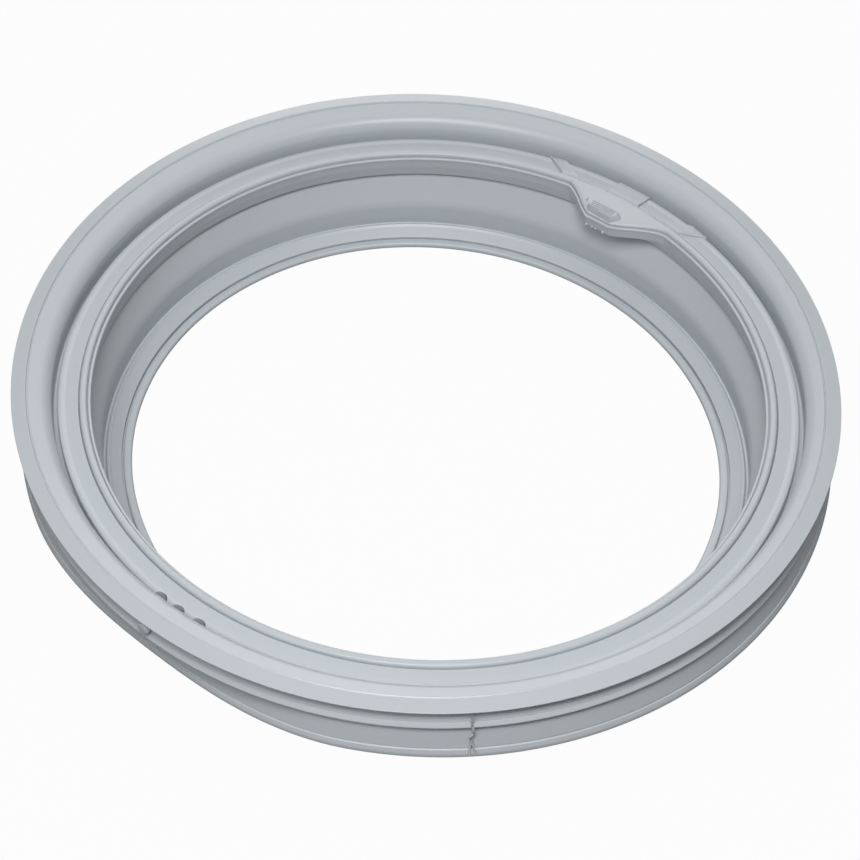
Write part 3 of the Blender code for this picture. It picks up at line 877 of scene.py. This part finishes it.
def rubber_material(name, mottle, skin):
    material = bpy.data.materials.new(name)
    material.use_nodes = True
    tree = material.node_tree
    shader = tree.nodes["Principled BSDF"]
    colour = add(tree, "ShaderNodeGroup", node_tree=mottle)
    height = add(tree, "ShaderNodeGroup", node_tree=skin)
    tree.links.new(colour.outputs["Color"], shader.inputs["Base Color"])
    spread = add(
        tree, "ShaderNodeMapRange",
        {
            "Value": colour.outputs["Cloud"],
            "From Min": 0.3,
            "From Max": 0.7,
            "To Min": ROUGHNESS_LOW,
            "To Max": ROUGHNESS_HIGH,
        },
    )
    tree.links.new(spread.outputs["Result"], shader.inputs["Roughness"])
    bump = add(tree, "ShaderNodeBump", {"Height": height.outputs["Height"]})
    bump.inputs["Strength"].default_value = 0.12
    bump.inputs["Distance"].default_value = 0.0003
    tree.links.new(bump.outputs["Normal"], shader.inputs["Normal"])
    shader.inputs["Metallic"].default_value = 0.0
    shader.inputs["Specular IOR Level"].default_value = 0.5
    return material


# Pieces

def finish_piece(name, mesh, oval, material):
    """Press the mesh into the oval, and make it a piece of the ring."""
    settle(mesh)
    made = run_tree(name, oval, {"Material": material}, base=mesh)
    made.shade_smooth()
    made.set_sharp_from_angle(angle=SHARP_EDGE)
    piece = bpy.data.objects.new(name, made)
    bpy.context.scene.collection.objects.link(piece)
    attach(piece, BODY)
    return piece


def even_stations(count):
    return [2 * math.pi * step / count for step in range(count)]


def tongue_stations():
    """Angles all round, closer together at the tongue."""
    half = TONGUE_STRETCH
    start = TONGUE_ANGLE - half
    angles = [start + 2 * half * step / TONGUE_STATIONS for step in range(TONGUE_STATIONS)]
    rest = 2 * math.pi - 2 * half
    angles += [TONGUE_ANGLE + half + rest * step / LIP_STATIONS for step in range(LIP_STATIONS)]
    return angles


def drain_cutter(low, high):
    """Upright round pins where the drain holes are."""
    pins = []
    for turn in DRAIN_TURNS:
        form = bmesh.new()
        bmesh.ops.create_cone(
            form, cap_ends=True, segments=40, radius1=DRAIN_RADIUS, radius2=DRAIN_RADIUS, depth=high - low
        )
        pins.append(mesh_of("pin", form, on_ring(DRAIN_PLACE, math.radians(turn), (low + high) / 2)))
    return join_meshes("drain_pins", pins)


def swell_by_drains(radius, angle, height):
    """The channel's outer wall bulges a little towards the drain holes."""
    on_wall = smooth((RIM_RADIUS - BAND_WIDTH - 2.0 * MM - radius) / (6.0 * MM))
    on_wall = on_wall * (height > CHANNEL_FLOOR + 1.0 * MM)
    total = np.zeros_like(radius)
    for turn, swell in SWELLS:
        away = np.degrees(turn_between(angle, math.radians(turn))) / SWELL_TURN
        total += swell * np.exp(-away * away)
    return radius - on_wall * total


def make_flanges(turning, oval, material):
    stations = even_stations(FLANGE_STATIONS)
    mesh = turn_section("outer_flanges", flange_corners(), stations, turning, material)
    mesh = cut_away(mesh, drain_cutter(ROOF - 1.5 * MM, CHANNEL_FLOOR + 0.8 * MM))
    radius, angle, height = read_points(mesh)
    radius, height = press_skirt(radius, height, angle)
    radius = swell_by_drains(radius, angle, height)
    write_points(mesh, radius, angle, height)
    return finish_piece("outer_flanges", mesh, oval, material)


def make_lip(turning, oval, material):
    mesh = turn_section("door_lip", lip_corners(), tongue_stations(), turning, material)
    mesh = cut_away(mesh, drain_cutter(ROOF - 1.5 * MM, LIP_TOP + 1.0 * MM))
    mesh = cut_away(mesh, strip_grooves())
    radius, angle, height = read_points(mesh)
    radius, height = reach_tongue(radius, height, angle)
    write_points(mesh, radius, angle, height)
    return finish_piece("door_lip", mesh, oval, material)


def make_wall(turning, oval, material):
    mesh = turn_section("inner_wall", wall_corners(), even_stations(WALL_STATIONS), turning, material)
    return finish_piece("inner_wall", mesh, oval, material)


def band_height(radius):
    """Height of the lip's top band, out to the ridge at its shoulder."""
    return np.interp(
        radius,
        (BEAD_BACK + 1.1 * MM, CHANNEL_INNER - 3.6 * MM, CHANNEL_INNER - 1.9 * MM, CHANNEL_INNER),
        (BAND_TOP, SHOULDER + 0.2 * MM, SHOULDER + 0.4 * MM, SHOULDER - 0.3 * MM),
    )


def make_strip(name, turn_in, turn_out, width, lift):
    """One raised strip across the lip's band, slanted, with an even edge."""
    inner = BEAD_BACK + 0.9 * MM
    outer = CHANNEL_INNER + 0.4 * MM
    along = np.array([0.0, 0.03, 0.08, 0.2, 0.35, 0.5, 0.65, 0.8, 0.9, 0.97, 1.0])
    edge = (0.0, 0.06 * MM, 0.3 * MM, 0.8 * MM)
    middle = np.linspace(-width / 2 + 1.6 * MM, width / 2 - 1.6 * MM, 8)
    across = np.concatenate((np.array(edge) - width / 2, middle, width / 2 - np.array(edge[::-1])))
    across_lift = np.full(len(across), 0.8)
    across_lift[[0, -1]] = -0.6
    across_lift[[1, -2]] = 0.85
    across_lift[[2, 3, -3, -4]] = 1.0
    along_lift = np.ones(len(along))
    along_lift[:3] = (-0.3, 0.4, 0.75)
    along_lift[-1] = -0.6
    radius = inner + (outer - inner) * along[:, None] + 0.0 * across[None, :]
    turn = np.radians(turn_in + (turn_out - turn_in) * along)[:, None] + across[None, :] / radius
    raised = lift * np.minimum(along_lift[:, None], across_lift[None, :])
    height = band_height(radius) + raised
    top = np.stack((radius * np.cos(turn), radius * np.sin(turn), height), axis=2)
    return slab(name, top, 2.0 * MM)


def strip_grooves():
    """Narrow blades that cut a fine groove along both sides of every raised strip."""
    blades = []
    for name, turn_in, turn_out, width, _ in STRIPS:
        inner_end = (BEAD_BACK + 0.2 * MM, turn_in, BAND_TOP)
        outer_end = (CHANNEL_INNER + 1.0 * MM, turn_out, SHOULDER)
        for side in (-1.0, 1.0):
            points = []
            for radius, turn, top in (inner_end, outer_end):
                angle = math.radians(turn) + side * (width / 2 + STRIP_GROOVE / 2) / radius
                for edge in (-STRIP_GROOVE / 2, STRIP_GROOVE / 2):
                    for height in (top - STRIP_GROOVE_DEPTH, LIP_TOP + 1.0 * MM):
                        points.append(on_ring(radius, angle + edge / radius, height).translation)
            blades.append(hull_of(f"{name}_groove", points))
    return join_meshes("strip_grooves", blades)


def hull_of(name, points, rounding=0.0):
    """The closed form with the given corners, its edges rounded where a rounding is given."""
    form = bmesh.new()
    corners = [form.verts.new(point) for point in points]
    hull = bmesh.ops.convex_hull(form, input=corners)["geom"]
    bmesh.ops.recalc_face_normals(form, faces=form.faces)
    if rounding:
        edges = [part for part in hull if isinstance(part, bmesh.types.BMEdge)]
        sharp = [edge for edge in edges if edge.calc_face_angle(0.0) > PAD_SHARP]
        bmesh.ops.bevel(form, geom=sharp, offset=rounding, segments=3, profile=0.5, affect="EDGES")
    return mesh_of(name, form)


def make_pad_block():
    """The block that carries the pad's ridges: flat on top, steep down to the tip's groove."""
    corners = []
    for spots, height in ((PAD_TOP_CORNERS, PAD_TOP), (PAD_FOOT_CORNERS, PAD_FOOT)):
        for turn, radius in spots:
            corners.append(on_ring(radius, math.radians(turn), height).translation)
    return hull_of("pad_block", corners, PAD_ROUNDING)


def make_pad_ridges(rows, material):
    """Fine ridges along the pad's top."""
    form = bmesh.new()
    bmesh.ops.create_cube(form, size=1.0)
    form.transform(Matrix.Diagonal((RIDGE_LENGTH, RIDGE_WIDTH, RIDGE_HEIGHT, 1.0)))
    bmesh.ops.bevel(form, geom=form.edges[:], offset=0.12 * MM, segments=2, profile=0.5, affect="EDGES")
    one = bpy.data.objects.new("ridge", mesh_of("ridge", form))
    bpy.context.scene.collection.objects.link(one)
    values = {"Form": one, "Count": RIDGES, "Pitch": RIDGE_PITCH, "Material": material}
    ridges = run_tree("pad_ridges", rows, values)
    bpy.data.objects.remove(one, do_unlink=True)
    ridges.transform(on_ring(PAD_RADIUS, PAD_ANGLE, PAD_TOP))
    return ridges


def make_lump(radius, turn, height, size):
    """A small rounded lump of (along, out, up) size."""
    form = bmesh.new()
    bmesh.ops.create_icosphere(form, subdivisions=2, radius=0.5)
    form.transform(Matrix.Diagonal((*size, 1.0)))
    return mesh_of("lump", form, on_ring(radius, math.radians(turn), height))


def make_tongue_details(rows, oval, material):
    """Strips, ribbed pad, its small bump, and the burrs under the tip."""
    forms = [make_strip(*strip) for strip in STRIPS]
    forms += [make_pad_block(), make_pad_ridges(rows, material)]
    forms.append(make_lump(*PAD_BUMP))
    tip = LIP_RADIUS - TONGUE_REACH + 0.9 * MM
    for turn, size in BURRS:
        forms.append(make_lump(tip, turn, BURR_HEIGHT, (size, 1.5 * size, 1.2 * size)))
    return finish_piece("tongue_details", join_meshes("tongue_details", forms), oval, material)


def make_stub(oval, material):
    """Round stub in the panel groove."""
    root = RIM_RADIUS - PANEL_GROOVE_DEPTH - 1.0 * MM
    form = bmesh.new()
    bmesh.ops.create_cone(
        form, cap_ends=True, segments=40, radius1=STUB_RADIUS, radius2=STUB_RADIUS, depth=STUB_REACH - root
    )
    rims = [edge for edge in form.edges if abs(edge.verts[0].co.z - edge.verts[1].co.z) < 0.1 * MM]
    bmesh.ops.bevel(form, geom=rims, offset=0.3 * MM, segments=2, profile=0.5, affect="EDGES")
    lie_down = Matrix.Rotation(math.pi / 2, 4, "X")
    place_stub = on_ring((STUB_REACH + root) / 2, math.radians(STUB_TURN), STUB_HEIGHT) @ lie_down
    return finish_piece("groove_stub", mesh_of("groove_stub", form, place_stub), oval, material)


def strand_path(points):
    """Points of the strand, out of (turn, radius, height), on the round ring."""
    return [on_ring(radius, math.radians(turn), height).translation for turn, radius, height in points]


def make_strand(oval, material):
    """Thin strand of flash that hangs from the front flange over the skirt, and forks."""
    forms = []
    for points, thick, thin in STRAND:
        radii = np.linspace(thick, thin, len(points))
        forms.append(tube("strand", strand_path(points), radii))
    return finish_piece("flash_strand", join_meshes("flash_strand", forms), oval, material)


# Stage

def white_to_camera(name, colour, glow):
    """A stage material that glows white to the camera and is plain to all other light."""
    material = bpy.data.materials.new(name)
    material.use_nodes = True
    tree = material.node_tree
    tree.nodes.clear()
    out = add(tree, "ShaderNodeOutputMaterial")
    plain = add(tree, "ShaderNodeBsdfDiffuse", {"Color": colour})
    white = add(tree, "ShaderNodeEmission", {"Color": (1.0, 1.0, 1.0, 1.0), "Strength": 1.0})
    path = add(tree, "ShaderNodeLightPath")
    share = maths(tree, "MULTIPLY", path.outputs["Is Camera Ray"], glow)
    mix = add(tree, "ShaderNodeMixShader", {0: share, 1: plain.outputs[0], 2: white.outputs[0]})
    tree.links.new(mix.outputs[0], out.inputs["Surface"])
    return material


def make_floor():
    bpy.ops.mesh.primitive_plane_add(size=8.0, location=(0.0, 0.0, 0.0))
    floor = bpy.context.object
    floor.name = "studio_floor"
    floor.data.materials.append(white_to_camera("floor_white", FLOOR_WHITE, FLOOR_GLOW))


def make_world():
    world = bpy.data.worlds.new("studio")
    bpy.context.scene.world = world
    world.use_nodes = True
    tree = world.node_tree
    tree.nodes.clear()
    out = add(tree, "ShaderNodeOutputWorld")
    soft = add(tree, "ShaderNodeBackground", {"Color": (0.96, 0.98, 1.0, 1.0), "Strength": SOFT_LIGHT})
    white = add(tree, "ShaderNodeBackground", {"Color": (1.0, 1.0, 1.0, 1.0), "Strength": 1.0})
    path = add(tree, "ShaderNodeLightPath")
    mix = add(
        tree, "ShaderNodeMixShader",
        {0: path.outputs["Is Camera Ray"], 1: soft.outputs[0], 2: white.outputs[0]},
    )
    tree.links.new(mix.outputs[0], out.inputs["Surface"])


def add_lamp(name, place, size, power):
    data = bpy.data.lights.new(name, "AREA")
    data.shape = "RECTANGLE"
    data.size, data.size_y = size
    data.energy = power
    lamp = bpy.data.objects.new(name, data)
    bpy.context.scene.collection.objects.link(lamp)
    lamp.location = place
    lamp.rotation_euler = (Vector(AIM) - Vector(place)).to_track_quat("-Z", "Y").to_euler()


def make_camera():
    data = bpy.data.cameras.new("camera")
    data.sensor_width = 36.0
    data.lens = FOCAL_LENGTH
    data.clip_end = 20.0
    camera = bpy.data.objects.new("camera", data)
    bpy.context.scene.collection.objects.link(camera)
    camera.location = CAMERA_PLACE
    camera.rotation_euler = (CAMERA_TILT, 0.0, 0.0)
    bpy.context.scene.camera = camera


def build():
    make_camera()
    turning = turning_tree()
    oval = oval_tree()
    mottle = mottle_group()
    skin = grain_group()
    rubber = rubber_material("grey_rubber", mottle, skin)
    flanges = make_flanges(turning, oval, rubber)
    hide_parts(NODE)
    make_lip(turning, oval, rubber)
    make_wall(turning, oval, rubber)
    make_tongue_details(row_tree(), oval, rubber)
    make_stub(oval, rubber)
    make_strand(oval, rubber)
    make_floor()
    make_world()
    for lamp in LAMPS:
        add_lamp(*lamp)
    bpy.context.scene.view_settings.view_transform = "Standard"


build()
